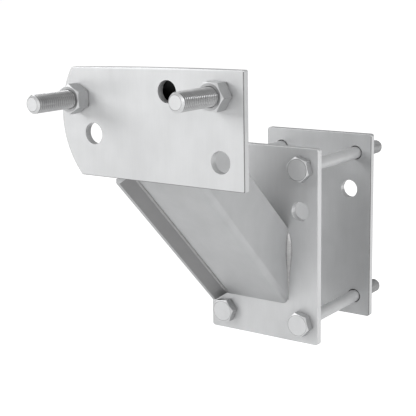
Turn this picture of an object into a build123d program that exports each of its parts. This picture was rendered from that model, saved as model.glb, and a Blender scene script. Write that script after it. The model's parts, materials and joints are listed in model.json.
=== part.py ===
from build123d import *
import os
from math import cos, radians, sin, sqrt, tan

# Spare wheel carrier for a trailer drawbar, in millimetres.
# Origin: the centre of the gap that the drawbar passes through.
# +X is to the right seen from the wheel, +Y points away from the wheel, +Z is up.

# Drawbar clamp
clamp_gap = 74.0
plate_width = 90.0
plate_height = 140.0
plate_thickness = 5.0
plate_corner_radius = 2.0
plate_edge_round = 0.6
clamp_bolt_inset_x = 13.0
clamp_bolt_inset_z = 14.5
locating_hole = 13.5
front_locating_inset = 14.2
front_locating_drop = 44.7
rear_locating_inset = 18.0
rear_locating_drop = 42.4

# Arm: a hollow box of folded and welded sheet
arm_angle = 45.0
arm_reach = 105.5
arm_foot_height = 26.7
arm_width = 51.4
arm_inset = 14.7
arm_depth_at_clamp = 55.7
arm_depth_at_head = 52.5
arm_depth_at_wheel = 66.6
arm_head_start = 50.0
sheet_thickness = 3.0
sheet_bend_radius = 1.5
lip_angle = 25.0
lip_edge_width = 3.0
lip_root_step = 0.7

# Wheel plate
wheel_plate_thickness = 5.0
wheel_plate_width = 142.5
wheel_plate_height = 71.9
wheel_plate_fall = 2.0
wheel_plate_overhang = 2.2
wheel_plate_crown = 0.7
wheel_plate_corner_radius = 1.0
end_radius = 57.3
end_centre_height = 38.7

# Holes of the wheel plate: distance in from the left or right edge, height above the lower edge
left_stud_inset = 14.75
left_stud_height = 50.2
right_stud_inset = 17.5
right_stud_room = 4.15
right_stud_height = 56.8
left_hole_inset = 26.5
left_hole_height = 27.8
right_hole_inset = 17.0
right_hole_height = 16.8
top_hole_inset = 55.8
top_hole_height = 57.3

# M10 clamp bolts and nuts
clamp_thread = 10.0
clamp_shank_relief = 1.0
clamp_bolt_length = 115.0
clamp_thread_length = 35.0
clamp_hex = 16.0
clamp_head_height = 6.4
clamp_nut_height = 8.4

# M12 wheel bolts, washers and nuts
wheel_thread = 12.0
wheel_thread_pitch = 1.75
pitch_line_depth = 0.65
wheel_bolt_length = 50.0
wheel_thread_length = 46.0
wheel_hex = 17.0
wheel_head_height = 7.5
wheel_nut_height = 10.0
washer_outer = 24.0
washer_thickness = 2.5

# Fits, as play on the diameter
clamp_hole_play = 0.5
wheel_hole_play = 2.0
washer_play = 1.0
nut_play = 0.1

# Finish
bolt_tip_chamfer = 1.2
hex_chamfer_angle = 30.0
hex_chamfer_ratio = 0.95
hex_count = 6
weld_leg = 3.5
right_bead_rise = 6.0
seam_radius = 1.6

# Turn of each hexagon about its own axis, in degrees
clamp_head_turns = {"upper_left": 25.0, "upper_right": 43.0, "lower_left": 8.0, "lower_right": 47.0}
clamp_nut_turn = 30.0
wheel_nut_turns = {"left": 30.0, "right": 57.0}

# Diameters that follow the threads
clamp_bolt_hole = clamp_thread + clamp_hole_play
clamp_shank = clamp_thread - clamp_shank_relief
clamp_nut_bore = clamp_thread + nut_play
wheel_hole = wheel_thread + wheel_hole_play
washer_inner = wheel_thread + washer_play
wheel_pitch_diameter = wheel_thread - pitch_line_depth * wheel_thread_pitch
wheel_nut_bore = wheel_pitch_diameter + nut_play

# Planes across the drawbar
front_plate_back = -clamp_gap / 2
front_plate_face = front_plate_back - plate_thickness
rear_plate_back = clamp_gap / 2 + plate_thickness
wheel_plate_back = front_plate_face - arm_reach
wheel_plate_face = wheel_plate_back - wheel_plate_thickness

# Clamp bolt pattern, named by corner
bolt_x = plate_width / 2 - clamp_bolt_inset_x
bolt_z = plate_height / 2 - clamp_bolt_inset_z
clamp_bolt_places = {
    "upper_left": (-bolt_x, bolt_z),
    "upper_right": (bolt_x, bolt_z),
    "lower_left": (-bolt_x, -bolt_z),
    "lower_right": (bolt_x, -bolt_z),
}
front_locating_place = (plate_width / 2 - front_locating_inset, plate_height / 2 - front_locating_drop)
rear_locating_place = (plate_width / 2 - rear_locating_inset, plate_height / 2 - rear_locating_drop)

# Arm walls: outer faces of the left and right walls, and the lower line of the web
arm_left = -plate_width / 2 + arm_inset
arm_right = arm_left + arm_width
arm_foot = -plate_height / 2 + arm_foot_height
arm_slope = tan(radians(arm_angle))
web_at_wheel = arm_foot + arm_reach * arm_slope

# Wheel plate edges and the places of its holes: the right bolt's washer clears the arm's weld
right_stud_x = arm_right + weld_leg + right_stud_room + washer_outer / 2
wheel_plate_right = right_stud_x + right_stud_inset
wheel_plate_left = wheel_plate_right - wheel_plate_width
wheel_plate_bottom = web_at_wheel - wheel_plate_overhang
wheel_plate_top = wheel_plate_bottom + wheel_plate_height
wheel_bolt_places = {
    "left": (wheel_plate_left + left_stud_inset, wheel_plate_bottom + left_stud_height),
    "right": (right_stud_x, wheel_plate_bottom + right_stud_height),
}
free_hole_places = [
    (wheel_plate_left + left_hole_inset, wheel_plate_bottom + left_hole_height),
    (wheel_plate_right - right_hole_inset, wheel_plate_bottom + right_hole_height),
    (wheel_plate_right - top_hole_inset, wheel_plate_bottom + top_hole_height),
]

# A length greater than the whole carrier in any direction, for cutters and slabs
beyond = 4 * (arm_reach + clamp_gap + plate_height)


def upright_plate(outline, back, thickness):
    """A plate that stands across Y, from its back face towards the wheel."""
    return extrude(Plane.XZ.offset(-back) * outline, thickness)


def along_y(place, start, towards):
    """A plane at a fastener's place, with its normal along Y towards 1 or -1."""
    x, z = place
    return Plane(origin=(x, start, z), x_dir=(1, 0, 0), z_dir=(0, towards, 0))


def holes_through(places, diameter):
    """Round cutters along Y, longer than the whole carrier."""
    cutters = [along_y(place, 0, 1) * Cylinder(diameter / 2, beyond) for place in places]
    return Part() + cutters


def round_flat_faces(plate, radius):
    """Round the outer edges of a plate's two broad faces."""
    faces = plate.faces().sort_by(Axis.Y)
    edges = faces[0].outer_wire().edges() + faces[-1].outer_wire().edges()
    return fillet(edges, radius)


def clamp_plate(back, locating_place):
    """One of the two flat plates that grip the drawbar."""
    outline = RectangleRounded(plate_width, plate_height, plate_corner_radius)
    plate = upright_plate(outline, back, plate_thickness)
    plate = round_flat_faces(plate, plate_edge_round)
    plate -= holes_through(clamp_bolt_places.values(), clamp_bolt_hole)
    plate -= holes_through([locating_place], locating_hole)
    return plate


def wheel_plate_outline():
    """Straight lower and right edges, a crowned top that falls to the left, and a large round left end."""
    centre_x = wheel_plate_left + end_radius
    centre_z = wheel_plate_bottom + end_centre_height
    lower_left = (centre_x - sqrt(end_radius**2 - end_centre_height**2), wheel_plate_bottom)
    left_top = wheel_plate_top - wheel_plate_fall
    rise = left_top - centre_z
    upper_left = (centre_x - sqrt(end_radius**2 - rise**2), left_top)
    lower_right = (wheel_plate_right, wheel_plate_bottom)
    upper_right = (wheel_plate_right, wheel_plate_top)
    crown = ((upper_left[0] + wheel_plate_right) / 2, (left_top + wheel_plate_top) / 2 + wheel_plate_crown)
    edges = Line(lower_left, lower_right)
    edges += Line(lower_right, upper_right)
    edges += ThreePointArc(upper_right, crown, upper_left)
    edges += ThreePointArc(upper_left, (wheel_plate_left, centre_z), lower_left)
    outline = make_face(edges)
    return fillet(outline.vertices(), wheel_plate_corner_radius)


def make_wheel_plate():
    """The plate that the wheel's centre is bolted against."""
    plate = upright_plate(wheel_plate_outline(), wheel_plate_back, wheel_plate_thickness)
    plate = round_flat_faces(plate, plate_edge_round)
    plate -= holes_through(wheel_bolt_places.values(), wheel_hole)
    plate -= holes_through(free_hole_places, wheel_hole)
    return plate


def arm_top_line():
    """The arm's upper edge seen from the side, as (y, z) from the clamp to the wheel plate."""
    head = front_plate_face - arm_head_start
    head_web = arm_foot + arm_head_start * arm_slope
    return [
        (front_plate_face, arm_foot + arm_depth_at_clamp),
        (head, head_web + arm_depth_at_head),
        (wheel_plate_back, web_at_wheel + arm_depth_at_wheel),
    ]


def side_slab(points, left, right):
    """A solid with the given (y, z) outline, between two X positions."""
    outline = make_face(Polyline(*points, close=True))
    return extrude(Plane.YZ.offset(left) * outline, right - left)


def below_arm_top(left, right):
    """The room between the clamp plate and the wheel plate, up to the arm's upper edge."""
    low = arm_foot - beyond
    floor = [(wheel_plate_back, low), (front_plate_face, low)]
    return side_slab(arm_top_line() + floor, left, right)


def section_plane():
    """The plane across the arm: X to the right, Y into the arm, the web's outer face at Y 0."""
    angle = radians(arm_angle)
    return Plane(
        origin=(0, front_plate_face, arm_foot),
        x_dir=(1, 0, 0),
        z_dir=(0, -cos(angle), sin(angle)),
    )


def along_arm(section):
    """Run a section the whole length of the arm, past both plates."""
    return extrude(section_plane() * section, beyond, both=True)


def make_arm_channel():
    """The folded sheet that makes the arm's web and its right wall."""
    middle = sheet_thickness / 2
    wall = arm_right - middle
    fold = FilletPolyline(
        (arm_left, middle),
        (wall, middle),
        (wall, beyond),
        radius=sheet_bend_radius + middle,
    )
    channel = along_arm(trace(fold, sheet_thickness))
    return channel & below_arm_top(arm_left, arm_right)


def make_arm_side_plate():
    """The flat left wall, which stands on the web's inner face."""
    inner = arm_left + sheet_thickness
    wall = below_arm_top(arm_left, inner)
    above_web = Pos(0, sheet_thickness + beyond / 2) * Rectangle(beyond, beyond)
    return wall & along_arm(above_web)


def make_arm_cover():
    """The upper wall, between the left and right walls and flush with their edges."""
    outer = arm_top_line()
    drops = [sheet_thickness / cos(radians(arm_angle))] * len(outer)
    inner = [(y, z - drop) for (y, z), drop in zip(outer, drops)]
    return side_slab(outer + inner[::-1], arm_left + sheet_thickness, arm_right - sheet_thickness)


def lip_back():
    """How far the lip's back face stands inside the web's outer face, at the left wall."""
    return lip_root_step + sheet_thickness / cos(radians(lip_angle))


def lip_section():
    """The lip's section: tilted forward from the web, with its free edge parallel to the web."""
    free_x = -plate_width / 2
    bevel_x = free_x + lip_edge_width
    slope = tan(radians(lip_angle))
    thickness = sheet_thickness / cos(radians(lip_angle))
    bevel_y = lip_root_step - (arm_left - bevel_x) * slope
    free_y = lip_root_step - (arm_left - free_x) * slope + thickness
    corners = [
        (arm_left, lip_root_step),
        (bevel_x, bevel_y),
        (free_x, bevel_y),
        (free_x, free_y),
        (arm_left, lip_back()),
    ]
    return make_face(Polyline(*corners, close=True))


def between_plates():
    """The slab of space between the clamp plate and the wheel plate."""
    middle = (front_plate_face + wheel_plate_back) / 2
    return Pos(0, middle, 0) * Box(beyond, arm_reach, beyond)


def make_arm_lip():
    """The narrow strip along the arm's left edge."""
    return along_arm(lip_section()) & between_plates()


def hexagon(across_flats, height, turn, both_ends):
    """A hexagon with its corners turned down by a cone, standing on Z 0."""
    corner = across_flats / sqrt(3)
    flat = across_flats * hex_chamfer_ratio / 2
    drop = (corner - flat) * tan(radians(hex_chamfer_angle))
    low = [(flat, 0), (corner, drop)] if both_ends else [(corner, 0)]
    edge = [(0, 0)] + low + [(corner, height - drop), (flat, height), (0, height)]
    turned = revolve(Plane.XZ * make_face(Polyline(*edge, close=True)), Axis.Z)
    block = RegularPolygon(across_flats / 2, hex_count, major_radius=False, rotation=turn)
    return turned & extrude(block, height)


def threaded_bar(thread, start, end):
    """The threaded part of a bolt, from one height to another, with a chamfered tip."""
    radius = thread / 2
    edge = [
        (0, start),
        (radius, start),
        (radius, end - bolt_tip_chamfer),
        (radius - bolt_tip_chamfer, end),
        (0, end),
    ]
    return revolve(Plane.XZ * make_face(Polyline(*edge, close=True)), Axis.Z)


def hex_bolt(thread, shank, length, thread_length, across_flats, head_height, turn):
    """A bolt with the underside of its head at Z 0 and its tip at Z length."""
    plain = length - thread_length
    bolt = threaded_bar(thread, plain, length)
    bolt += extrude(Circle(shank / 2), plain)
    bolt += Rot(180, 0, 0) * hexagon(across_flats, head_height, turn, False)
    return bolt


def hex_nut(bore, across_flats, height, turn):
    """A nut that stands on Z 0."""
    return hexagon(across_flats, height, turn, True) - Cylinder(bore / 2, beyond)


def clamp_bolt(corner):
    """One of the long bolts through both clamp plates, its head on the front plate."""
    bolt = hex_bolt(
        clamp_thread,
        clamp_shank,
        clamp_bolt_length,
        clamp_thread_length,
        clamp_hex,
        clamp_head_height,
        clamp_head_turns[corner],
    )
    return along_y(clamp_bolt_places[corner], front_plate_face, 1) * bolt


def clamp_nut(corner):
    """The nut behind the rear clamp plate."""
    nut = hex_nut(clamp_nut_bore, clamp_hex, clamp_nut_height, clamp_nut_turn)
    return along_y(clamp_bolt_places[corner], rear_plate_back, 1) * nut


def wheel_bolt(side):
    """A bolt from behind the wheel plate, drawn at its pitch diameter inside the nut."""
    bolt = hex_bolt(
        wheel_thread,
        wheel_thread,
        wheel_bolt_length,
        wheel_thread_length,
        wheel_hex,
        wheel_head_height,
        wheel_nut_turns[side],
    )
    in_nut = Circle(wheel_hex) - Circle(wheel_pitch_diameter / 2)
    bolt -= Pos(0, 0, washer_thickness + wheel_plate_thickness) * extrude(in_nut, wheel_nut_height)
    return along_y(wheel_bolt_places[side], wheel_plate_back + washer_thickness, -1) * bolt


def wheel_bolt_washer(side):
    """The flat washer between the bolt's head and the back of the wheel plate."""
    washer = extrude(Circle(washer_outer / 2) - Circle(washer_inner / 2), washer_thickness)
    return along_y(wheel_bolt_places[side], wheel_plate_back, 1) * washer


def wheel_nut(side):
    """The nut that holds the wheel bolt to the wheel plate."""
    nut = hex_nut(wheel_nut_bore, wheel_hex, wheel_nut_height, wheel_nut_turns[side])
    return along_y(wheel_bolt_places[side], wheel_plate_face, -1) * nut


def wall_bead(x, outward, plate, toward, low, high):
    """An upright fillet weld between a wall's outer face and a plate."""
    corners = [(x, plate), (x + outward * weld_leg, plate), (x, plate + toward * weld_leg)]
    section = make_face(Polyline(*corners, close=True))
    return extrude(Plane.XY.offset(low) * section, high - low)


def bead_start(web):
    """The height where an upright bead starts, clear of the web's bend and of the lip's seam."""
    return web + weld_leg + (lip_back() + weld_leg) / cos(radians(arm_angle))


def make_weld_clamp_plate():
    """The welds from the arm's two walls to the front clamp plate."""
    low = bead_start(arm_foot)
    high = arm_foot + arm_depth_at_clamp - weld_leg
    right = wall_bead(arm_right, 1, front_plate_face, -1, arm_foot + right_bead_rise, high)
    left = wall_bead(arm_left, -1, front_plate_face, -1, low, high)
    return Part() + [right, left]


def make_weld_wheel_plate():
    """The welds from the arm's two walls and its web to the back of the wheel plate."""
    low = bead_start(web_at_wheel)
    high = web_at_wheel + arm_depth_at_wheel - 2 * weld_leg
    right = wall_bead(arm_right, 1, wheel_plate_back, 1, low, high)
    left = wall_bead(arm_left, -1, wheel_plate_back, 1, low, high)
    edge = [
        (wheel_plate_back, web_at_wheel),
        (wheel_plate_back, wheel_plate_bottom),
        (wheel_plate_back + wheel_plate_overhang / arm_slope, wheel_plate_bottom),
    ]
    under = side_slab(edge, arm_left + seam_radius, arm_right - sheet_bend_radius - sheet_thickness)
    return Part() + [right, left, under]


def make_weld_side_plate():
    """The fillet weld on the arm's left, between the left wall and the back of the lip."""
    back = lip_back()
    tilt = radians(lip_angle)
    corners = [
        (arm_left, back),
        (arm_left, back + weld_leg),
        (arm_left - weld_leg * cos(tilt), back - weld_leg * sin(tilt)),
    ]
    return along_arm(make_face(Polyline(*corners, close=True))) & between_plates()


def make_weld_lip():
    """The bead in the corner between the web and the lip."""
    bead = along_arm(Pos(arm_left, 0) * Circle(seam_radius)) & between_plates()
    bead -= make_arm_channel()
    bead -= make_arm_lip()
    return bead


def make_weld_cover():
    """The beads along the two edges of the arm's cover."""
    path = Polyline(*[(0, y, z) for y, z in arm_top_line()])
    start = path @ 0
    beads = Part()
    for x in (arm_left + sheet_thickness, arm_right - sheet_thickness):
        section = Plane(origin=start, x_dir=(1, 0, 0), z_dir=path % 0) * Circle(seam_radius)
        beads += Pos(x, 0, 0) * sweep(section, path=path, transition=Transition.RIGHT)
    return (beads & between_plates()) - below_arm_top(-beyond, beyond)


def all_parts():
    """Every piece of the carrier by name."""
    parts = {
        "front_clamp_plate": clamp_plate(front_plate_back, front_locating_place),
        "rear_clamp_plate": clamp_plate(rear_plate_back, rear_locating_place),
        "arm_channel": make_arm_channel(),
        "arm_side_plate": make_arm_side_plate(),
        "arm_cover": make_arm_cover(),
        "arm_lip": make_arm_lip(),
        "wheel_plate": make_wheel_plate(),
        "weld_clamp_plate": make_weld_clamp_plate(),
        "weld_wheel_plate": make_weld_wheel_plate(),
        "weld_lip": make_weld_lip(),
        "weld_side_plate": make_weld_side_plate(),
        "weld_cover": make_weld_cover(),
    }
    for corner in clamp_bolt_places:
        parts["clamp_bolt_" + corner] = clamp_bolt(corner)
        parts["clamp_nut_" + corner] = clamp_nut(corner)
    for side in wheel_bolt_places:
        parts["wheel_bolt_" + side] = wheel_bolt(side)
        parts["wheel_bolt_washer_" + side] = wheel_bolt_washer(side)
        parts["wheel_nut_" + side] = wheel_nut(side)
    return parts


os.makedirs("parts", exist_ok=True)
for name, shape in all_parts().items():
    export_step(shape, "parts/" + name + ".step")
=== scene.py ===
"""Looks of the spare wheel carrier.

Zinc-plated plates, a welded box arm, bolts with modelled threads, and the studio round them.
"""

import json
import math

import bmesh
import bpy
from bpy.props import FloatProperty, FloatVectorProperty, IntProperty, PointerProperty
from mathutils import Matrix, Vector, noise

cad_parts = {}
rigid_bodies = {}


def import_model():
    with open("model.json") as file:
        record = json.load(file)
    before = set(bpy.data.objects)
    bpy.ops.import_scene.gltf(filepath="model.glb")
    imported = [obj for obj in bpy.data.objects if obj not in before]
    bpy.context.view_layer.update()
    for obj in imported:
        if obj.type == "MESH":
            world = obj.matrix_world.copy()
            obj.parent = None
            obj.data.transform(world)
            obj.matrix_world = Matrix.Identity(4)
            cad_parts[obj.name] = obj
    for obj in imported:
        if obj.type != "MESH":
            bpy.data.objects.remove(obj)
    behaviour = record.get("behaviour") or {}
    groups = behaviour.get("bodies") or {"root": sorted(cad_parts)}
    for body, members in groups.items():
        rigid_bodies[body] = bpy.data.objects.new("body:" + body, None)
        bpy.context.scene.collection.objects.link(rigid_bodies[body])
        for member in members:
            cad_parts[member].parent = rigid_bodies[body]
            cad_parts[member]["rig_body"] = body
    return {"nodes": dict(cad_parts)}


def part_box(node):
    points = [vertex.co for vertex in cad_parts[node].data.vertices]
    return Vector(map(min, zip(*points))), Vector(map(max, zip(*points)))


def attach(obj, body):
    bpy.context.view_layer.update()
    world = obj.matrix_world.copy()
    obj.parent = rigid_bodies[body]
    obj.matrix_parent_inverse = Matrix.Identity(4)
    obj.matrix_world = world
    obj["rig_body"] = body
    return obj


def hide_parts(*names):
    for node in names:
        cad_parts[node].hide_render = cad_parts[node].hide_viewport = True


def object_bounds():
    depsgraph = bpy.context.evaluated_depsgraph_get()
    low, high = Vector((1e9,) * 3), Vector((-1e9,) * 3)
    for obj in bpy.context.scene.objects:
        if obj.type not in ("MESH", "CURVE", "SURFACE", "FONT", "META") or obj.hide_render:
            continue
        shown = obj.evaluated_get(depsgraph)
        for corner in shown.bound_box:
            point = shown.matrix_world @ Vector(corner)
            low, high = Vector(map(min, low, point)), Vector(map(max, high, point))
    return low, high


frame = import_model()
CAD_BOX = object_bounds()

bl_info = {
    "name": "Spare Wheel Carrier",
    "version": (1, 0, 0),
    "blender": (4, 5, 0),
    "location": "View3D > Sidebar > Wheel Carrier",
    "description": "Builds the visible pieces of a drawbar spare wheel carrier round its CAD frame",
    "category": "Object",
}

MM = 0.001
MERGE_DISTANCE = 1e-6
CORNERS = ("upper_left", "upper_right", "lower_left", "lower_right")
SIDES = ("left", "right")

# Turn of each hexagon about its own axis, in degrees, as the CAD fasteners stand
CLAMP_HEAD_TURNS = {"upper_left": 25.0, "upper_right": 43.0, "lower_left": 8.0, "lower_right": 47.0}
CLAMP_NUT_TURN = 30.0
WHEEL_NUT_TURNS = {"left": 30.0, "right": 57.0}

# How far the arm's lip is tilted forward from the web
LIP_ANGLE = math.radians(25)


# ---------------------------------------------------------------- settings


class FinishSettings(bpy.types.PropertyGroup):
    """Colours and surface of the carrier's finishes."""

    sheet_colour: FloatVectorProperty(
        name="Sheet colour",
        description="Zinc plating on the clamp plates",
        default=(0.52, 0.525, 0.53),
        subtype="COLOR",
        size=3,
    )
    rear_colour: FloatVectorProperty(
        name="Rear plate colour",
        description="Duller zinc plating on the rear clamp plate",
        default=(0.44, 0.445, 0.45),
        subtype="COLOR",
        size=3,
    )
    arm_colour: FloatVectorProperty(
        name="Arm colour",
        description="Zinc plating on the folded arm",
        default=(0.42, 0.425, 0.43),
        subtype="COLOR",
        size=3,
    )
    wheel_plate_colour: FloatVectorProperty(
        name="Wheel plate colour",
        description="Brighter zinc plating on the wheel plate",
        default=(0.53, 0.535, 0.54),
        subtype="COLOR",
        size=3,
    )
    # Painted shade: a darker copy of the arm's zinc on the front face of the lip, standing in for the
    # shade that falls on it
    strip_colour: FloatVectorProperty(
        name="Lip colour",
        description="Duller plating on the arm's lip",
        default=(0.21, 0.21, 0.212),
        subtype="COLOR",
        size=3,
    )
    fastener_colour: FloatVectorProperty(
        name="Fastener colour",
        description="Bright zinc plating on bolts, nuts and washers",
        default=(0.38, 0.383, 0.387),
        subtype="COLOR",
        size=3,
    )
    weld_colour: FloatVectorProperty(
        name="Weld colour",
        description="Plating over the weld beads",
        default=(0.31, 0.31, 0.31),
        subtype="COLOR",
        size=3,
    )
    # Painted shade: a darker copy of the fasteners' zinc in the thread grooves, on the seats under the
    # hexagons, in the nuts' bores and on thin lines round the end faces, standing in for the shade there
    thread_colour: FloatVectorProperty(
        name="Thread colour",
        description="Duller plating down in the threads and under the hexagons",
        default=(0.27, 0.27, 0.272),
        subtype="COLOR",
        size=3,
    )
    # Painted light: a lighter copy of the fasteners' zinc on the clamp bolts' shanks, on the chamfers and
    # on the end faces, standing in for the light on them
    shank_colour: FloatVectorProperty(
        name="Shank colour",
        description="Plating on the plain shanks of the clamp bolts",
        default=(0.54, 0.545, 0.55),
        subtype="COLOR",
        size=3,
    )
    # Painted light: a lighter copy of the plates' zinc on the clamp plates' cut sides, standing in for
    # the light on them
    cut_colour: FloatVectorProperty(
        name="Cut colour",
        description="Sides of the clamp plates, rubbed bright",
        default=(0.62, 0.625, 0.63),
        subtype="COLOR",
        size=3,
    )
    # Painted shade: a dark line on the round between a plate's front and its edge, standing in for the
    # shade on that round
    edge_colour: FloatVectorProperty(
        name="Edge colour",
        description="Dull line where a plate's face turns into its edge",
        default=(0.17, 0.17, 0.172),
        subtype="COLOR",
        size=3,
    )
    # Painted shade: near black on the arm's inner faces, standing in for the shade inside the hollow arm
    hollow_colour: FloatVectorProperty(
        name="Hollow colour",
        description="Dark bare steel inside the arm",
        default=(0.006, 0.006, 0.006),
        subtype="COLOR",
        size=3,
    )
    sheet_roughness: FloatProperty(
        name="Sheet roughness",
        description="How matt the plated sheet is",
        default=0.5,
        min=0.0,
        max=1.0,
    )
    fastener_roughness: FloatProperty(
        name="Fastener roughness",
        description="How matt the plated fasteners are",
        default=0.33,
        min=0.0,
        max=1.0,
    )


class SheetSettings(bpy.types.PropertyGroup):
    """Broken edges of the cut plates and sheets."""

    edge_round: FloatProperty(
        name="Edge round",
        description="Size of the round on each cut edge",
        default=0.35 * MM,
        unit="LENGTH",
    )
    sharp_angle: FloatProperty(
        name="Sharp angle",
        description="Edges that turn more than this are rounded",
        default=math.radians(40),
        subtype="ANGLE",
    )
    segments: IntProperty(
        name="Round segments",
        description="Faces across each rounded edge",
        default=3,
        min=1,
    )


class ClampFastenerSettings(bpy.types.PropertyGroup):
    """Sizes of the M10 clamp bolts and their nuts."""

    thread: FloatProperty(
        name="Thread", description="Outer diameter of the thread", default=10.0 * MM, unit="LENGTH"
    )
    shank: FloatProperty(
        name="Shank", description="Diameter of the plain shank", default=9.0 * MM, unit="LENGTH"
    )
    pitch: FloatProperty(
        name="Pitch", description="Distance from one thread to the next", default=1.5 * MM, unit="LENGTH"
    )
    threaded: FloatProperty(
        name="Threaded length",
        description="Length of thread from the tip",
        default=35.0 * MM,
        unit="LENGTH",
    )
    across_flats: FloatProperty(
        name="Across flats", description="Width of the hexagon", default=16.0 * MM, unit="LENGTH"
    )
    head: FloatProperty(
        name="Head height", description="Height of the bolt's head", default=6.4 * MM, unit="LENGTH"
    )


class WheelFastenerSettings(bpy.types.PropertyGroup):
    """Sizes of the M12 wheel studs and their nuts."""

    thread: FloatProperty(
        name="Thread", description="Outer diameter of the thread", default=12.0 * MM, unit="LENGTH"
    )
    shank: FloatProperty(
        name="Shank", description="Diameter of the plain shank", default=12.0 * MM, unit="LENGTH"
    )
    pitch: FloatProperty(
        name="Pitch", description="Distance from one thread to the next", default=1.75 * MM, unit="LENGTH"
    )
    threaded: FloatProperty(
        name="Threaded length",
        description="Length of thread from the tip",
        default=46.0 * MM,
        unit="LENGTH",
    )
    across_flats: FloatProperty(
        name="Across flats", description="Width of the hexagon", default=17.0 * MM, unit="LENGTH"
    )
    head: FloatProperty(
        name="Head height", description="Height of the bolt's head", default=7.5 * MM, unit="LENGTH"
    )
    washer_bore: FloatProperty(
        name="Washer bore", description="Radius of the washer's hole", default=6.5 * MM, unit="LENGTH"
    )


class WeldSettings(bpy.types.PropertyGroup):
    """Shape of the weld beads."""

    leg: FloatProperty(
        name="Leg",
        description="Width of a fillet weld along each of its two faces",
        default=3.5 * MM,
        unit="LENGTH",
    )
    seam_radius: FloatProperty(
        name="Seam radius",
        description="Radius of the thin bead along a seam",
        default=1.25 * MM,
        unit="LENGTH",
    )
    ripple: FloatProperty(
        name="Ripple pitch",
        description="Distance from one ripple of a bead to the next",
        default=1.7 * MM,
        unit="LENGTH",
    )
    ripple_depth: FloatProperty(
        name="Ripple depth",
        description="Share of a bead's size that its ripples take",
        default=0.06,
        min=0.0,
        max=1.0,
    )


class StageSettings(bpy.types.PropertyGroup):
    """Floor, lights and camera."""

    floor_size: FloatProperty(
        name="Floor size", description="Side of the square floor", default=60.0, unit="LENGTH"
    )
    camera_heading: FloatProperty(
        name="Camera heading",
        description="How far the camera stands to the right of the wheel's side",
        default=math.radians(35.55),
        subtype="ANGLE",
    )
    camera_pitch: FloatProperty(
        name="Camera pitch",
        description="How far the camera looks down",
        default=math.radians(12.1),
        subtype="ANGLE",
    )
    camera_roll: FloatProperty(
        name="Camera roll",
        description="Turn of the camera about its own line of sight",
        default=math.radians(-1.09),
        subtype="ANGLE",
    )
    camera_place: FloatVectorProperty(
        name="Camera place",
        description="The camera, from the middle of the drawbar's gap",
        default=(0.39198, -0.65699, 0.18132),
        subtype="TRANSLATION",
        size=3,
    )
    camera_lens: FloatProperty(
        name="Lens", description="Focal length on a 36 mm sensor, in millimetres", default=90.91
    )
    key_power: FloatProperty(name="Key power", description="Watts of the main light", default=20.5)
    fill_power: FloatProperty(
        name="Fill power", description="Watts of the light on the right", default=22.0
    )
    sky: FloatProperty(name="Sky", description="Strength of the even light from all round", default=0.48)
    floor_glow: FloatProperty(
        name="Floor glow", description="Light given off by the lit floor", default=0.30
    )


class CarrierSettings(bpy.types.PropertyGroup):
    """All sizes and colours of the carrier's looks."""

    finish: PointerProperty(type=FinishSettings)
    sheet: PointerProperty(type=SheetSettings)
    clamp_fastener: PointerProperty(type=ClampFastenerSettings)
    wheel_fastener: PointerProperty(type=WheelFastenerSettings)
    weld: PointerProperty(type=WeldSettings)
    stage: PointerProperty(type=StageSettings)


# ---------------------------------------------------------------- shader nodes


# Places of the outputs that are taken by number
OBJECT_PLACE = 3
MIXED_COLOUR = 2

WHITE = (1.0, 1.0, 1.0, 1.0)


def colour(rgb, factor):
    """A colour with alpha, made lighter or darker by a factor."""
    return tuple(min(1.0, channel * factor) for channel in rgb) + (1.0,)


class Wire:
    """A node socket that can be used in Python expressions."""

    def __init__(self, board, socket):
        self.board = board
        self.socket = socket

    def _math(self, operation, first, second):
        sockets = {0: first, 1: second}
        return self.board.node("ShaderNodeMath", {"operation": operation}, sockets)

    def __add__(self, other):
        return self._math("ADD", self, other)

    def __radd__(self, other):
        return self._math("ADD", other, self)

    def __mul__(self, other):
        return self._math("MULTIPLY", self, other)

    def __rmul__(self, other):
        return self._math("MULTIPLY", other, self)


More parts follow.
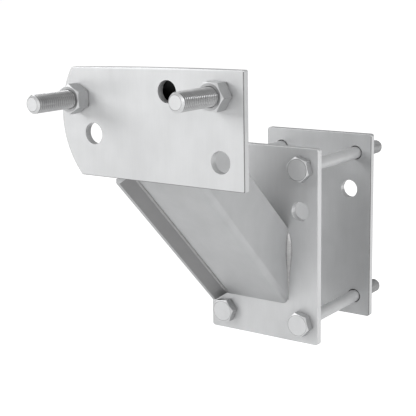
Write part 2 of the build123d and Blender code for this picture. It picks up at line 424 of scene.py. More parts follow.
class Board:
    """A material's or world's node tree, built one node at a time."""

    def __init__(self, owner):
        owner.use_nodes = True
        self.tree = owner.node_tree
        self.tree.nodes.clear()

    def node(self, kind, settings=None, sockets=None, output=0):
        """Add a node, give it its settings, fill its sockets and return one output."""
        added = self.tree.nodes.new(kind)
        for name, value in (settings or {}).items():
            if name == "stops":
                self._set_stops(added, value)
            else:
                setattr(added, name, value)
        for name, value in (sockets or {}).items():
            if isinstance(value, Wire):
                self.tree.links.new(value.socket, added.inputs[name])
            else:
                added.inputs[name].default_value = value
        if not added.outputs:
            return added
        return Wire(self, added.outputs[output])

    @staticmethod
    def _set_stops(added, stops):
        for element, (position, value) in zip(added.color_ramp.elements, stops):
            element.position = position
            element.color = (value, value, value, 1.0)

    def place(self):
        """The point on the object, in its own space."""
        return self.node("ShaderNodeTexCoord", output=OBJECT_PLACE)

    def stretched(self, scale):
        """The point on the object, scaled differently along each axis."""
        return self.node("ShaderNodeMapping", {}, {"Vector": self.place(), "Scale": scale})

    def cloud(self, vector, scale, detail=2.0, rough=0.5):
        """Soft noise from 0 to 1."""
        sockets = {"Vector": vector, "Scale": scale, "Detail": detail, "Roughness": rough}
        return self.node("ShaderNodeTexNoise", {}, sockets)

    def spread(self, value, low, high):
        """A value stretched until low is 0 and high is 1."""
        return self.node("ShaderNodeValToRGB", {"stops": ((low, 0.0), (high, 1.0))}, {"Fac": value})

    def shades(self, share, rgb, dark, light):
        """A colour that runs by a share from its darker to its lighter shade."""
        sockets = {0: share, 6: colour(rgb, dark), 7: colour(rgb, light)}
        return self.node("ShaderNodeMix", {"data_type": "RGBA"}, sockets, output=MIXED_COLOUR)

    def bump(self, height, strength, distance):
        """A normal that follows a height."""
        sockets = {"Height": height, "Strength": strength, "Distance": distance}
        return self.node("ShaderNodeBump", {}, sockets)

    def surface(self, sockets):
        """A steel surface as the tree's output."""
        shader = self.node("ShaderNodeBsdfPrincipled", {}, sockets)
        self.node("ShaderNodeOutputMaterial", {}, {"Surface": shader})


def new_material(name):
    """An empty material and the board to build it on."""
    material = bpy.data.materials.new(name)
    return material, Board(material)


# How far each plating is a metal, the rest being its pale bloom
SHEET_METAL = 0.72
FASTENER_METAL = 0.75
WELD_METAL = 0.8

# How fine the grain is along X, Y and Z
UPRIGHT_GRAIN = (900.0, 900.0, 60.0)
ROLLED_GRAIN = (1500.0, 900.0, 50.0)
ARM_GRAIN = (700.0, 150.0, 150.0)
SHANK_GRAIN = (500.0, 120.0, 500.0)
TOOL_MARKS = (300.0, 1500.0, 300.0)
PATCH_FLOW = (1.0, 1.0, 0.35)

# Depth of the fine relief of each plating
SHEET_RELIEF = 0.08 * MM
FASTENER_RELIEF = 0.05 * MM
WELD_RELIEF = 0.2 * MM

# How much of the floor's direct look is its own even white, and how strong that white is
FLOOR_WHITE_SHARE = 0.38
FLOOR_WHITE = 1.55


def look():
    """The settings of the finishes."""
    return bpy.context.scene.carrier.finish


def plated_sheet(name, rgb, grain_scale, grain_depth):
    """Satin zinc plating with a faint rolling grain, cloudy patches and fine pits."""
    material, board = new_material(name)
    roughness = look().sheet_roughness
    patches = board.cloud(board.place(), scale=38.0, detail=3.0, rough=0.55)
    flow = board.cloud(board.stretched(PATCH_FLOW), scale=110.0)
    grain = board.cloud(board.stretched(grain_scale), scale=1.0, rough=0.6)
    pits = board.cloud(board.place(), scale=2600.0, detail=1.0)
    # Shares of the three patterns in the tone, which also moves the roughness a few hundredths
    tone = patches * 0.5 + flow * 0.3 + grain * 0.2
    share = board.spread(tone, low=0.32, high=0.68)
    board.surface({
        "Base Color": board.shades(share, rgb, dark=0.93, light=1.06),
        "Metallic": SHEET_METAL,
        "Roughness": roughness - 0.06 + tone * 0.10 + grain * 0.04,
        "Normal": board.bump(grain * 0.7 + pits * 0.3, strength=grain_depth, distance=SHEET_RELIEF),
    })
    return material


def bright_plating(name, rgb):
    """Bright zinc on fasteners, with fine tool marks."""
    material, board = new_material(name)
    roughness = look().fastener_roughness
    marks = board.cloud(board.stretched(TOOL_MARKS), scale=1.0, rough=0.6)
    patches = board.cloud(board.place(), scale=160.0)
    share = board.spread(marks * 0.4 + patches * 0.6, low=0.3, high=0.7)
    board.surface({
        "Base Color": board.shades(share, rgb, dark=0.88, light=1.1),
        "Metallic": FASTENER_METAL,
        "Roughness": roughness - 0.04 + patches * 0.10,
        "Normal": board.bump(marks, strength=0.25, distance=FASTENER_RELIEF),
    })
    return material


def plated_weld(name, rgb):
    """Zinc over a weld bead, a little uneven."""
    material, board = new_material(name)
    roughness = look().sheet_roughness
    patches = board.cloud(board.place(), scale=420.0, detail=3.0, rough=0.6)
    share = board.spread(patches, low=0.3, high=0.7)
    board.surface({
        "Base Color": board.shades(share, rgb, dark=0.85, light=1.08),
        "Metallic": WELD_METAL,
        "Roughness": roughness - 0.05 + patches * 0.12,
        "Normal": board.bump(patches, strength=0.4, distance=WELD_RELIEF),
    })
    return material


def painted_hollow_shade(name, rgb):
    """Near-black painted shade with faint random patches, for the faces inside the arm."""
    material, board = new_material(name)
    patches = board.cloud(board.place(), scale=90.0, detail=3.0, rough=0.6)
    base = board.shades(patches, rgb, dark=0.6, light=1.6)
    board.surface({"Base Color": base, "Roughness": 0.75 + patches * 0.15})
    return material


def floor_paint(name, glow):
    """Plain pale studio floor, evened out to white where it is seen directly."""
    material, board = new_material(name)
    speck = board.cloud(board.place(), scale=3.0)
    lit = board.node("ShaderNodeBsdfPrincipled", {}, {
        "Base Color": board.shades(speck, WHITE[:3], dark=0.80, light=0.82),
        "Roughness": 0.6,
        "Specular IOR Level": 0.2,
        "Emission Color": WHITE,
        "Emission Strength": glow,
    })
    even = board.node("ShaderNodeEmission", {}, {"Color": WHITE, "Strength": FLOOR_WHITE})
    seen = board.node("ShaderNodeLightPath")
    mixed = board.node("ShaderNodeMixShader", {}, {0: seen * FLOOR_WHITE_SHARE, 1: lit, 2: even})
    board.node("ShaderNodeOutputMaterial", {}, {"Surface": mixed})
    return material


# Each finish: its maker, the setting of its colour, and for a sheet its grain and the grain's depth
FINISHES = {
    "plate_zinc": (plated_sheet, "sheet_colour", UPRIGHT_GRAIN, 0.25),
    "rear_zinc": (plated_sheet, "rear_colour", UPRIGHT_GRAIN, 0.25),
    # Painted light on the clamp plates' cut sides
    "cut_zinc": (plated_sheet, "cut_colour", UPRIGHT_GRAIN, 0.25),
    # Painted shade on the rounds of the rear plate and the wheel plate
    "edge_zinc": (plated_sheet, "edge_colour", UPRIGHT_GRAIN, 0.25),
    "wheel_plate_zinc": (plated_sheet, "wheel_plate_colour", ROLLED_GRAIN, 0.35),
    "arm_zinc": (plated_sheet, "arm_colour", ARM_GRAIN, 0.25),
    # Painted shade on the front face of the arm's lip
    "lip_zinc": (plated_sheet, "strip_colour", ARM_GRAIN, 0.25),
    # Painted light on the fasteners' shanks, chamfers and end faces
    "shank_zinc": (plated_sheet, "shank_colour", SHANK_GRAIN, 0.2),
    "fastener_zinc": (bright_plating, "fastener_colour"),
    "thread_zinc": (bright_plating, "thread_colour"),
    # Painted shade on the fasteners' grooves, seats, bores and end-face lines
    "weld_zinc": (plated_weld, "weld_colour"),
    # Painted shade inside the arm
    "hollow_steel": (painted_hollow_shade, "hollow_colour"),
}
MATERIALS = {}


def finish(name):
    """The material of that name, made the first time that it is asked for."""
    if name not in MATERIALS:
        maker, colour_setting, *grain = FINISHES[name]
        MATERIALS[name] = maker(name, getattr(look(), colour_setting), *grain)
    return MATERIALS[name]


# ---------------------------------------------------------------- mesh work


# Faces that turn less than this from one another are one flat face
FLAT_ANGLE = math.radians(0.5)

# Cosines of a face's direction: the same as another, square to an axis, and turned away from it
SAME_WAY = 0.98
SQUARE = 0.97
TURNED = 0.15

# Digits to which places in metres and directions are compared
PLACE_DIGITS = 5
DIRECTION_DIGITS = 3

# A face of the cover is an inner one if its direction falls below DOWNWARD and leans less than SIDEWAYS
DOWNWARD = -0.3
SIDEWAYS = 0.1

# Places of the materials in a plate's list
FACE, EDGE, SIDE = range(3)


def mark_sharp(bm, angle):
    """Smooth every face, and keep the edges that turn more than the angle sharp."""
    for face in bm.faces:
        face.smooth = True
    for edge in bm.edges:
        edge.smooth = len(edge.link_faces) == 2 and edge.calc_face_angle(0.0) < angle


def add_piece(name, bm, materials, body, nodes):
    """Make an object from a finished mesh with its materials, tie it to its body and hide its CAD nodes.
    """
    bmesh.ops.recalc_face_normals(bm, faces=bm.faces)
    mesh = bpy.data.meshes.new(name)
    bm.to_mesh(mesh)
    bm.free()
    for material in materials:
        mesh.materials.append(finish(material))
    piece = bpy.data.objects.new(name, mesh)
    bpy.context.scene.collection.objects.link(piece)
    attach(piece, body)
    if nodes:
        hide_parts(*nodes)
    return piece


def looks_in(directions):
    """1 for the faces that look in one of the directions, and 0 for the rest."""
    return lambda normal: int(any(normal.dot(direction) > SAME_WAY for direction in directions))


def plate_faces(normal):
    """EDGE for the round between a plate's front and its edge, SIDE for its cut sides, else FACE. On the
    rear plate and the wheel plate EDGE takes painted shade, and on the clamp plates SIDE takes painted
    light.
    """
    if normal.z < TURNED and -SQUARE < normal.y < -TURNED:
        return EDGE
    return SIDE if abs(normal.x) > SQUARE else FACE


def weigh_normals(piece):
    """Keep the broad faces flat and let only the rounded edges turn the light."""
    weigh = piece.modifiers.new("broad_faces", "WEIGHTED_NORMAL")
    weigh.mode = "FACE_AREA"
    weigh.keep_sharp = True


def softened_sheet(node, name, materials, pick):
    """A plate or sheet from its CAD node, with every cut edge broken.

    pick gives the place of a face's material in the list, from the face's normal.
    """
    sheet = bpy.context.scene.carrier.sheet
    source = frame["nodes"][node]
    bm = bmesh.new()
    bm.from_mesh(source.data)
    bmesh.ops.remove_doubles(bm, verts=bm.verts, dist=MERGE_DISTANCE)
    bmesh.ops.dissolve_limit(bm, angle_limit=FLAT_ANGLE, verts=bm.verts, edges=bm.edges)
    joined = [edge for edge in bm.edges if len(edge.link_faces) == 2]
    bmesh.ops.bevel(
        bm,
        geom=[edge for edge in joined if edge.calc_face_angle(0.0) > sheet.sharp_angle],
        offset=sheet.edge_round,
        segments=sheet.segments,
        profile=0.5,
        affect="EDGES",
        clamp_overlap=True,
    )
    bmesh.ops.recalc_face_normals(bm, faces=bm.faces)
    for face in bm.faces:
        face.material_index = pick(face.normal)
    mark_sharp(bm, sheet.sharp_angle)
    piece = add_piece(name, bm, materials, source["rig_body"], [node])
    weigh_normals(piece)
    return piece


# ---------------------------------------------------------------- fasteners

# Faces round a fastener, and rings in one turn of its thread
COLUMNS = 48
ROWS_PER_PITCH = 8

# The turned chamfer of a hexagon, and its end face as a share of its width
CHAMFER_ANGLE = math.radians(30)
CHAMFER_SHARE = 0.95
FLAT_HALF_ANGLE = math.radians(30)
SHARP_ANGLE = math.radians(24)

# The thread's depth, crest and root, as shares of its pitch
THREAD_DEPTH = 0.6134
CREST = 1 / 8
ROOT = 1 / 4

# A bolt's tip, the round under its head, and the height of the round seat under its hexagon
TIP_CHAMFER = 1.5 * MM
TIP_LINE = 0.3 * MM
NECK = 0.35 * MM
SEAT = 0.4 * MM

# A nut's bore past its thread, and its countersunk mouth as a share of the thread
BORE_PLAY = 0.05 * MM
MOUTH_SHARE = 1.06

# The rim that a punch rolls on a washer
PUNCH_ROLL = 0.35 * MM
PUNCH_SHOULDER = 0.3

# Where the painted light and shade on a fastener change: a chamfer's height, a thread's shaded groove as
# a share of its depth, the middle of a head's end face as a share of that face, a head's rim and a nut's
# bore
CHAMFER_BAND = 0.7 * MM
GROOVE_SHARE = 0.35
END_FACE_SHARE = 0.96
RIM_SHARE = 0.9
BORE_SHARE = 1.02

# Places of the materials in a fastener's list: its own bright zinc, a darker copy that is painted shade,
# and a lighter copy that is painted light
FASTENER_FINISHES = ("fastener_zinc", "thread_zinc", "shank_zinc")
BRIGHT, PAINTED_SHADE, PAINTED_LIGHT = range(3)


def column_angles():
    """The angle of each column of a fastener's mesh, counted from a corner of its hexagon."""
    return [2 * math.pi * column / COLUMNS for column in range(COLUMNS)]


def round_ring(radius, height):
    """A level ring of a turned surface."""
    return [(radius, height)] * COLUMNS


def hexagon_radii(across_flats):
    """The hexagon's radius at each column."""
    radii = []
    for angle in column_angles():
        from_flat = angle % (2 * FLAT_HALF_ANGLE) - FLAT_HALF_ANGLE
        radii.append(across_flats / 2 / math.cos(from_flat))
    return radii


def hexagon_ring(across_flats, height, toward):
    """Where the hexagon's sides meet the turned chamfer of the end face at that height.

    toward is the way from the end face into the hexagon, 1 or -1.
    """
    flat = across_flats * CHAMFER_SHARE / 2
    slope = math.tan(CHAMFER_ANGLE)
    radii = hexagon_radii(across_flats)
    return [(radius, height + toward * (radius - flat) * slope) for radius in radii]


def thread_share(phase):
    """How far the thread's surface lies below its crest, from 0 to 1, at a phase of the turn."""
    flank = (1 - CREST - ROOT) / 2
    phase %= 1.0
    if phase < CREST:
        return 0.0
    if phase < CREST + flank:
        return (phase - CREST) / flank
    if phase < CREST + flank + ROOT:
        return 1.0
    return (1.0 - phase) / flank


def thread_rings(radius, pitch, start, end):
    """Rings of an outer thread from its run-out to its chamfered tip."""
    rows = round((end - start) / pitch * ROWS_PER_PITCH)
    depth = THREAD_DEPTH * pitch
    tip = radius - TIP_CHAMFER
    rings = []
    for row in range(rows + 1):
        height = start + (end - start) * row / rows
        fade = min(1.0, (height - start) / pitch)
        limit = tip + (end - height)
        ring = []
        for angle in column_angles():
            phase = height / pitch - angle / (2 * math.pi)
            cut = depth * (1 - fade * (1 - thread_share(phase)))
            ring.append((min(radius - cut, limit), height))
        rings.append(ring)
    return rings


def turned_mesh(rings, turn, place, toward, closed):
    """A mesh of rings round an axis along Y, from a place and toward 1 or -1."""
    bm = bmesh.new()
    columns = [angle + turn for angle in column_angles()]
    axes = Matrix(((1, 0, 0), (0, 0, toward), (0, -toward, 0)))
    rows = []
    for ring in rings:
        row = []
        for angle, (radius, height) in zip(columns, ring):
            local = Vector((radius * math.cos(angle), radius * math.sin(angle), height))
            row.append(bm.verts.new(place + axes @ local))
        rows.append(row)
    pairs = list(zip(rows, rows[1:]))
    if closed:
        pairs.append((rows[-1], rows[0]))
    else:
        bm.faces.new(rows[0])
        bm.faces.new(rows[-1])
    for low, high in pairs:
        for column in range(COLUMNS):
            following = (column + 1) % COLUMNS
            bm.faces.new((low[column], low[following], high[following], high[column]))
    return bm


def bolt_rings(size, length):
    """Rings of a hexagon bolt, from the top of its head at -head to its tip at length."""
    flat = size.across_flats * CHAMFER_SHARE / 2
    shank = size.shank / 2
    start = length - size.threaded
    rings = [
        round_ring(flat * END_FACE_SHARE, -size.head),
        round_ring(flat, -size.head),
        hexagon_ring(size.across_flats, -size.head, 1),
        [(radius, -SEAT) for radius in hexagon_radii(size.across_flats)],
        round_ring(flat, -SEAT),
        round_ring(flat, 0.0),
        round_ring(shank + NECK, 0.0),
        round_ring(shank, NECK),
    ]
    root = size.thread / 2 - THREAD_DEPTH * size.pitch
    rings += [round_ring(shank, start - (shank - root))]
    rings += thread_rings(size.thread / 2, size.pitch, start, length)
    return rings + [round_ring(size.thread / 2 - TIP_CHAMFER - TIP_LINE, length)]


def all_bright(radius, height):
    """The finish of a piece that is bright all over."""
    return BRIGHT


def add_fastener(name, rings, turn, place, toward, closed, body, node, finish_at=all_bright):
    """A turned fastener with crisp edges, in the place of its CAD node.

    finish_at gives a face's finish, BRIGHT, PAINTED_SHADE or PAINTED_LIGHT, from its distance to the axis and its height.
    """
    bm = turned_mesh(rings, math.radians(turn), place, toward, closed)
    bmesh.ops.recalc_face_normals(bm, faces=bm.faces)
    for face in bm.faces:
        offset = face.calc_center_median() - place
        face.material_index = finish_at(math.hypot(offset.x, offset.z), toward * offset.y)
    mark_sharp(bm, SHARP_ANGLE)
    return add_piece(name, bm, FASTENER_FINISHES, body, [node])


def node_axis(node, end):
    """A point on the axis of a turned node along Y, at its lower (0) or upper (1) end."""
    low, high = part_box(node)
    return Vector(((low.x + high.x) / 2, (low, high)[end].y, (low.z + high.z) / 2))


def bolt_finish(size, length):
    """The finish of a bolt's faces.

    The hexagon's sides and the crests are bright. The seat, the thread's grooves and the lines round both
    end faces get painted shade, a darker copy of the zinc. The shank, the chamfers and the end faces get
    painted light, a pale lighter copy of the zinc.
    """
    start = length - size.threaded
    crest = size.thread / 2 - GROOVE_SHARE * THREAD_DEPTH * size.pitch
    tip = size.thread / 2 - TIP_CHAMFER

    def finish_at(radius, height):
        # Painted shade on the thin lines round the end faces, the seat and the grooves; painted light on
        # the chamfer, the shank and the rest of the end faces
        if height > length - MERGE_DISTANCE:
            return PAINTED_SHADE if radius > tip - TIP_LINE else PAINTED_LIGHT
        if height < MERGE_DISTANCE - size.head:
            return PAINTED_SHADE if radius > size.across_flats * RIM_SHARE / 2 else PAINTED_LIGHT
        if height < CHAMFER_BAND - size.head:
            return PAINTED_LIGHT
        if height < -SEAT:
            return BRIGHT
        if height < 0.0:
            return PAINTED_SHADE
        if height < start or height > length - TIP_CHAMFER:
            return PAINTED_LIGHT
        return PAINTED_SHADE if radius < crest else BRIGHT

    return finish_at


def nut_finish(size, height):
    """The finish of a nut's faces: bright, with painted light on the outer chamfer and painted shade in
    the bore and on the seat.
    """
    flat = size.across_flats * CHAMFER_SHARE / 2

    def finish_at(radius, level):
        # Painted light on the outer chamfer
        if radius > flat and level > height - CHAMFER_BAND:
            return PAINTED_LIGHT
        seat = radius > flat and level < CHAMFER_BAND
        return PAINTED_SHADE if seat or radius < size.thread / 2 * BORE_SHARE else BRIGHT

    return finish_at


def add_bolt(kind, key, size, turn, toward):
    """A bolt in the place of its CAD node, its tip toward 1 or -1 along Y."""
    node = f"{kind}_{key}"
    head_end = 0 if toward > 0 else 1
    low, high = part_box(node)
    length = high.y - low.y - size.head
    axis = node_axis(node, head_end)
    place = axis + Vector((0, toward * size.head, 0))
    rings = bolt_rings(size, length)
    finish_at = bolt_finish(size, length)
    name = node + "_threaded"
    return add_fastener(name, rings, turn, place, toward, False, "carrier", node, finish_at)


def nut_rings(size, height):
    """Rings of a nut that stands on 0: outside, then the countersunk bore."""
    flat = size.across_flats * CHAMFER_SHARE / 2
    bore = size.thread / 2 + BORE_PLAY
    mouth = size.thread / 2 * MOUTH_SHARE
    sink = mouth - bore
    return [
        round_ring(flat, 0.0),
        hexagon_ring(size.across_flats, 0.0, 1),
        hexagon_ring(size.across_flats, height, -1),
        round_ring(flat, height),
        round_ring(mouth, height),
        round_ring(bore, height - sink),
        round_ring(bore, sink),
        round_ring(mouth, 0.0),
    ]


def add_nut(kind, key, size, turn, toward, body):
    """A nut in the place of its CAD node, its bearing face first."""
    node = f"{kind}_{key}"
    low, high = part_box(node)
    place = node_axis(node, 0 if toward > 0 else 1)
    height = high.y - low.y
    rings = nut_rings(size, height)
    finish_at = nut_finish(size, height)
    return add_fastener(node + "_chamfered", rings, turn, place, toward, True, body, node, finish_at)


def add_washer(side, inner):
    """A punched flat washer: one rim rounded by the punch, the other crisp."""
    node = f"wheel_bolt_washer_{side}"
    low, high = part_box(node)
    outer = (high.x - low.x) / 2
    thick = high.y - low.y
    shoulder = PUNCH_ROLL * PUNCH_SHOULDER
    rings = [
        round_ring(inner, 0.0),
        round_ring(outer, 0.0),
        round_ring(outer, thick - PUNCH_ROLL),
        round_ring(outer - shoulder, thick - shoulder),
        round_ring(outer - PUNCH_ROLL, thick),
        round_ring(inner + PUNCH_ROLL, thick),
        round_ring(inner, thick - PUNCH_ROLL),
    ]
    return add_fastener(node + "_punched", rings, 0.0, node_axis(node, 0), 1, True, "carrier", node)


# ---------------------------------------------------------------- welds


# Rings of a bead: the fewest, and how many to a ripple
MIN_ROWS = 8
ROWS_PER_RIPPLE = 6

# How much a bead's size wanders, and how quickly, in ripples
WANDER = 0.10
WANDER_RATE = 0.35
WANDER_LAYER = 0.5
SEED_PER_METRE = 100

# Points across a fillet and round a seam, and how far a fillet bulges
FILLET_STEPS = 8
SEAM_STEPS = 14
FILLET_CROWN = 0.18

# The swelling bead: its thin foot, its swell, how high the swell sits and how full it is
FOOT = 0.12
SWELL = 0.78
SWELL_PLACE = 2.4
SWELL_FULLNESS = 0.75

# The even bead: the size of its very ends, and how fast they grow
END_SIZE = 0.35
END_GROWTH = 18

BEAD_SHARP_ANGLE = math.radians(50)

# How far the left beads start above the web, how far the seams stop short of the plates, and how far
# the fillet behind the lip stands back from the web
LEFT_RISE = 14 * MM
LIP_INSET = 1.5 * MM
COVER_INSET = 1.0 * MM
LIP_BACK = 4.0 * MM


def bead_mesh(start, end, section, size_at, ripple, ripple_depth, seed):
    """A rippled bead along a straight line.

    section lists the offsets of the bead's ring from its line, and size_at gives the bead's size from
    0 to 1 along it.
    """
    bm = bmesh.new()
    line = end - start
    steps = max(MIN_ROWS, round(line.length / (ripple / ROWS_PER_RIPPLE)))
    rows = []
    for step in range(steps + 1):
        share = step / steps
        distance = share * line.length / ripple
        scallop = 1 - ripple_depth * (distance % 1.0) ** 2
        wander = 1 + WANDER * noise.noise(Vector((distance * WANDER_RATE, seed, WANDER_LAYER)))
        size = size_at(share) * scallop * wander
        centre = start + line * share
        rows.append([bm.verts.new(centre + offset * size) for offset in section])
    count = len(section)
    for low, high in zip(rows, rows[1:]):
        for column in range(count):
            following = (column + 1) % count
            bm.faces.new((low[column], low[following], high[following], high[column]))
    bm.faces.new(rows[0])
    bm.faces.new(rows[-1])
    return bm


def fillet_section(first, second, leg):
    """The ring of a slightly crowned fillet weld between two directions at its corner."""
    points = [Vector((0, 0, 0))]
    for step in range(FILLET_STEPS + 1):
        share = step / FILLET_STEPS
        crown = 1 + FILLET_CROWN * math.sin(math.pi * share)
        points.append((first * (1 - share) + second * share) * leg * crown)
    return points


def round_section(first, second, radius):
    """The ring of a round bead across two directions."""
    turns = [2 * math.pi * step / SEAM_STEPS for step in range(SEAM_STEPS)]
    return [(first * math.cos(turn) + second * math.sin(turn)) * radius for turn in turns]


def lens(share):
    """A bead that swells from a long thin foot to its full size near the top."""
    return FOOT + SWELL * math.sin(math.pi * share**SWELL_PLACE) ** SWELL_FULLNESS


def blunt(share):
    """A bead of even size with rounded ends."""
    return min(1.0, END_SIZE + END_GROWTH * share, END_SIZE + END_GROWTH * (1 - share))


class Arm:
    """Where the arm's walls and lines are, from the boxes of its CAD nodes."""

    def __init__(self):
        channel_low, channel_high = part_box("arm_channel")
        cover_low, cover_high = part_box("arm_cover")
        reach = channel_high.y - channel_low.y
        self.left = channel_low.x
        self.right = channel_high.x
        self.clamp = channel_high.y
        self.wheel = channel_low.y
        self.foot = channel_low.z
        self.web_at_wheel = self.foot + reach
        self.cover_left = cover_low.x
        self.cover_right = cover_high.x
        self.forward = Vector((0, -1, 1)).normalized()
        self.outward = Vector((0, -1, -1)).normalized()


def add_bead(name, bm, nodes):
    """A weld bead as a piece of the carrier."""
    mark_sharp(bm, BEAD_SHARP_ANGLE)
    return add_piece(name, bm, ["weld_zinc"], "carrier", nodes)


# ---------------------------------------------------------------- operators


class CARRIER_OT_clamp_plates(bpy.types.Operator):
    """Make the two plates that grip the drawbar"""

    bl_idname = "carrier.clamp_plates"
    bl_label = "Clamp plates"

    def execute(self, context):
        # The clamp plates' cut sides take painted light
        front = ["plate_zinc", "plate_zinc", "cut_zinc"]
        # The rear plate's rounds take painted shade
        rear = ["rear_zinc", "edge_zinc", "cut_zinc"]
        softened_sheet("front_clamp_plate", "front_plate_finished", front, plate_faces)
        softened_sheet("rear_clamp_plate", "rear_plate_finished", rear, plate_faces)
        return {"FINISHED"}


class CARRIER_OT_wheel_plate(bpy.types.Operator):
    """Make the plate that the wheel is bolted against"""

    bl_idname = "carrier.wheel_plate"
    bl_label = "Wheel plate"

    def execute(self, context):
        # The wheel plate's rounds take painted shade
        materials = ["wheel_plate_zinc", "edge_zinc", "wheel_plate_zinc"]
        softened_sheet("wheel_plate", "wheel_plate_finished", materials, plate_faces)
        return {"FINISHED"}


class CARRIER_OT_arm(bpy.types.Operator):
    """Make the arm's folded and flat sheets"""

    bl_idname = "carrier.arm"
    bl_label = "Arm"

    def execute(self, context):
        arm = Arm()
        into = -arm.outward
        left = Vector((-1, 0, 0))
        # The arm's inner faces take near-black painted shade
        hollow = ["arm_zinc", "hollow_steel"]
        softened_sheet("arm_channel", "arm_channel_finished", hollow, looks_in([left, into]))
        softened_sheet("arm_side_plate", "arm_side_finished", hollow, looks_in([-left]))
        softened_sheet("arm_cover", "arm_cover_finished", hollow, looks_in(self.cover_inner()))
        # The lip's front face takes the lip's darker finish, painted shade
        lip_front = arm.outward * math.cos(LIP_ANGLE) - left * math.sin(LIP_ANGLE)
        softened_sheet("arm_lip", "arm_lip_finished", ["arm_zinc", "lip_zinc"], looks_in([lip_front]))
        return {"FINISHED"}

    @staticmethod
    def cover_inner():
        """The directions of the cover's two inner faces, which look down and forward."""
        normals = set()
        for face in frame["nodes"]["arm_cover"].data.polygons:
            if face.normal.z < DOWNWARD and abs(face.normal.x) < SIDEWAYS:
                normals.add(tuple(round(part, DIRECTION_DIGITS) for part in face.normal))
        return [Vector(normal) for normal in sorted(normals)]


class CARRIER_OT_clamp_bolts(bpy.types.Operator):
    """Make the four long bolts and their nuts"""

    bl_idname = "carrier.clamp_bolts"
    bl_label = "Clamp bolts and nuts"

    def execute(self, context):
        size = context.scene.carrier.clamp_fastener
        for corner in CORNERS:
            add_bolt("clamp_bolt", corner, size, -CLAMP_HEAD_TURNS[corner], 1)
            add_nut("clamp_nut", corner, size, CLAMP_NUT_TURN, 1, corner + "_nut")
        return {"FINISHED"}


class CARRIER_OT_wheel_bolts(bpy.types.Operator):
    """Make the two wheel studs with their washers and nuts"""

    bl_idname = "carrier.wheel_bolts"
    bl_label = "Wheel studs and nuts"

    def execute(self, context):
        size = context.scene.carrier.wheel_fastener
        for side in SIDES:
            add_bolt("wheel_bolt", side, size, WHEEL_NUT_TURNS[side], -1)
            add_nut("wheel_nut", side, size, WHEEL_NUT_TURNS[side], -1, side + "_wheel_nut")
            add_washer(side, size.washer_bore)
        return {"FINISHED"}


class CARRIER_OT_welds(bpy.types.Operator):
    """Lay the weld beads"""

    bl_idname = "carrier.welds"
    bl_label = "Welds"

    def execute(self, context):
        self.weld = context.scene.carrier.weld
        self.arm = Arm()
        self.upright_beads()
        self.lip_seams()
        self.cover_seams()
        return {"FINISHED"}

    def bead(self, name, start, end, section, size_at, nodes=()):
        """One bead between two points."""
        weld = self.weld
        seed = len(name) + start.x * SEED_PER_METRE
        bm = bead_mesh(start, end, section, size_at, weld.ripple, weld.ripple_depth, seed)
        return add_bead(name, bm, nodes)

    def upright_beads(self):
        """The beads from the arm's walls to the clamp plate and to the wheel plate."""
        arm, leg = self.arm, self.weld.leg
        clamp_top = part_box("weld_clamp_plate")[1].z
        wheel_low, wheel_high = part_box("weld_wheel_plate")
        right = Vector((1, 0, 0))
        front = Vector((0, -1, 0))
        foot, web, top = arm.foot, arm.web_at_wheel, wheel_high.z
        spans = (
            ("clamp_right", right, arm.clamp, front, foot + leg, clamp_top, lens, ["weld_clamp_plate"]),
            ("clamp_left", -right, arm.clamp, front, foot + LEFT_RISE, clamp_top, blunt, []),
            ("wheel_right", right, arm.wheel, -front, web + 2 * leg, top, blunt, ["weld_wheel_plate"]),
            ("wheel_left", -right, arm.wheel, -front, web + LEFT_RISE, top, blunt, []),
        )
        for name, outward, y, toward, low, high, shape, nodes in spans:
            x = arm.right if outward.x > 0 else arm.left
            section = fillet_section(outward, toward, leg)
            self.bead("bead_" + name, Vector((x, y, low)), Vector((x, y, high)), section, shape, nodes)
        section = fillet_section(-front, Vector((0, 0, -1)), arm.web_at_wheel - wheel_low.z)
        start = Vector((arm.left + leg, arm.wheel, arm.web_at_wheel))
        end = Vector((arm.right - 2 * leg, arm.wheel, arm.web_at_wheel))
        self.bead("bead_under_web", start, end, section, blunt)

    def lip_seams(self):
        """The bead in front of the lip's root and the fillet behind it."""
        arm, weld = self.arm, self.weld
        start = Vector((arm.left, arm.clamp, arm.foot)) + arm.forward * LIP_INSET
        end = Vector((arm.left, arm.wheel, arm.web_at_wheel)) - arm.forward * LIP_INSET
        section = round_section(Vector((1, 0, 0)), arm.outward, weld.seam_radius)
        self.bead("bead_lip", start, end, section, blunt, ["weld_lip"])
        back = -arm.outward * LIP_BACK
        along_lip = Vector((-math.cos(LIP_ANGLE), 0, 0)) + arm.outward * math.sin(LIP_ANGLE)
        section = fillet_section(-arm.outward, along_lip, weld.leg)
        self.bead("bead_side_plate", start + back, end + back, section, blunt, ["weld_side_plate"])

    def cover_seams(self):
        """The beads along the cover's edges, over the bend where the arm deepens."""
        arm, weld = self.arm, self.weld
        points = self.cover_line()
        for index, (start, end) in enumerate(zip(points, points[1:])):
            for side, x in (("left", arm.cover_left), ("right", arm.cover_right)):
                direction = (end - start).normalized()
                up = Vector((1, 0, 0)).cross(direction)
                section = round_section(Vector((1, 0, 0)), up, weld.seam_radius)
                offset = Vector((x, 0, 0))
                nodes = ["weld_cover"] if (index, side) == (0, "left") else []
                name = f"bead_cover_{side}_{index}"
                self.bead(name, start + offset, end + offset, section, blunt, nodes)

    def cover_line(self):
        """The arm's upper edge, from the clamp plate over the bend to the wheel plate, at X 0."""
        top = {}
        for vertex in frame["nodes"]["arm_cover"].data.vertices:
            y = round(vertex.co.y, PLACE_DIGITS)
            top[y] = max(top.get(y, vertex.co.z), vertex.co.z)
        points = [Vector((0, y, z)) for y, z in sorted(top.items(), reverse=True)]
        points[0] += (points[1] - points[0]).normalized() * COVER_INSET
        points[-1] += (points[-2] - points[-1]).normalized() * COVER_INSET
        return points


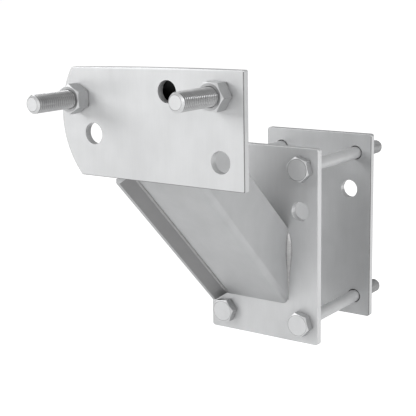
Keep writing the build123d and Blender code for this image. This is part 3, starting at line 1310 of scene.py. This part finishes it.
# The lights, from the middle of the carrier, and the sides of their squares, in metres
KEY_PLACE = Vector((-1.20, -1.30, 0.80))
KEY_SIZE = 0.9
FILL_PLACE = Vector((1.50, -0.45, 0.80))
FILL_SIZE = 1.0


class CARRIER_OT_stage(bpy.types.Operator):
    """Set the floor, the lights and the camera"""

    bl_idname = "carrier.stage"
    bl_label = "Stage"

    def execute(self, context):
        stage = context.scene.carrier.stage
        self.add_floor(stage)
        self.add_sky(stage)
        self.add_lights(stage)
        self.add_camera(stage)
        context.scene.view_settings.view_transform = "Standard"
        return {"FINISHED"}

    @staticmethod
    def add_floor(stage):
        """A plain pale floor under the clamp plates."""
        bm = bmesh.new()
        bmesh.ops.create_grid(bm, x_segments=1, y_segments=1, size=stage.floor_size / 2)
        mesh = bpy.data.meshes.new("studio_floor")
        bm.to_mesh(mesh)
        bm.free()
        mesh.materials.append(floor_paint("floor_paint", stage.floor_glow))
        floor = bpy.data.objects.new("studio_floor", mesh)
        floor.location.z = CAD_BOX[0][2]
        bpy.context.scene.collection.objects.link(floor)

    @staticmethod
    def add_sky(stage):
        """Even light from all round, and a white background."""
        world = bpy.data.worlds.new("studio")
        bpy.context.scene.world = world
        board = Board(world)
        seen = board.node("ShaderNodeLightPath")
        light = board.node("ShaderNodeBackground", {}, {"Color": WHITE, "Strength": stage.sky})
        backdrop = board.node("ShaderNodeBackground", {}, {"Color": WHITE, "Strength": 1.0})
        mixed = board.node("ShaderNodeMixShader", {}, {0: seen, 1: light, 2: backdrop})
        board.node("ShaderNodeOutputWorld", {}, {"Surface": mixed})

    @staticmethod
    def add_area(name, place, target, size, power):
        """A square soft light that faces a target."""
        lamp = bpy.data.lights.new(name, "AREA")
        lamp.size = size
        lamp.energy = power
        light = bpy.data.objects.new(name, lamp)
        light.location = place
        light.rotation_euler = (target - place).to_track_quat("-Z", "Y").to_euler()
        bpy.context.scene.collection.objects.link(light)

    def add_lights(self, stage):
        """A key from the front left and above, a fill from the right."""
        low, high = Vector(CAD_BOX[0]), Vector(CAD_BOX[1])
        middle = (low + high) / 2
        self.add_area("key", middle + KEY_PLACE, middle, KEY_SIZE, stage.key_power)
        self.add_area("fill", middle + FILL_PLACE, middle, FILL_SIZE, stage.fill_power)

    @staticmethod
    def add_camera(stage):
        """The camera, in front of the wheel's side and to its right."""
        heading, pitch, roll = stage.camera_heading, stage.camera_pitch, stage.camera_roll
        view = Vector((
            -math.sin(heading) * math.cos(pitch),
            math.cos(heading) * math.cos(pitch),
            -math.sin(pitch),
        ))
        right = Vector((math.cos(heading), math.sin(heading), 0))
        up = right.cross(view)
        rolled_right = right * math.cos(roll) + up * math.sin(roll)
        rolled_up = up * math.cos(roll) - right * math.sin(roll)
        turn = Matrix((rolled_right, rolled_up, -view)).transposed()
        camera = bpy.data.objects.new("camera", bpy.data.cameras.new("camera"))
        camera.data.lens = stage.camera_lens
        camera.matrix_world = Matrix.Translation(Vector(stage.camera_place)) @ turn.to_4x4()
        bpy.context.scene.collection.objects.link(camera)
        bpy.context.scene.camera = camera


class CARRIER_PT_panel(bpy.types.Panel):
    """The carrier's pieces and settings"""

    bl_idname = "CARRIER_PT_panel"
    bl_label = "Spare Wheel Carrier"
    bl_space_type = "VIEW_3D"
    bl_region_type = "UI"
    bl_category = "Wheel Carrier"

    def draw(self, context):
        layout = self.layout
        for operator in OPERATORS:
            layout.operator(operator.bl_idname)
        settings = context.scene.carrier
        for part in CarrierSettings.__annotations__:
            group = getattr(settings, part)
            box = layout.box()
            for name in group.__annotations__:
                box.prop(group, name)


OPERATORS = (
    CARRIER_OT_stage,
    CARRIER_OT_clamp_plates,
    CARRIER_OT_wheel_plate,
    CARRIER_OT_arm,
    CARRIER_OT_clamp_bolts,
    CARRIER_OT_wheel_bolts,
    CARRIER_OT_welds,
)
CLASSES = (
    FinishSettings,
    SheetSettings,
    ClampFastenerSettings,
    WheelFastenerSettings,
    WeldSettings,
    StageSettings,
    CarrierSettings,
    *OPERATORS,
    CARRIER_PT_panel,
)


def register():
    """Add the classes and the scene's settings."""
    for item in CLASSES:
        bpy.utils.register_class(item)
    bpy.types.Scene.carrier = PointerProperty(type=CarrierSettings)


def unregister():
    """Take the settings and the classes away."""
    del bpy.types.Scene.carrier
    for item in reversed(CLASSES):
        bpy.utils.unregister_class(item)


def main():
    """Build the whole scene."""
    register()
    for operator in OPERATORS:
        group, name = operator.bl_idname.split(".")
        getattr(getattr(bpy.ops, group), name)()


if __name__ == "__main__":
    main()
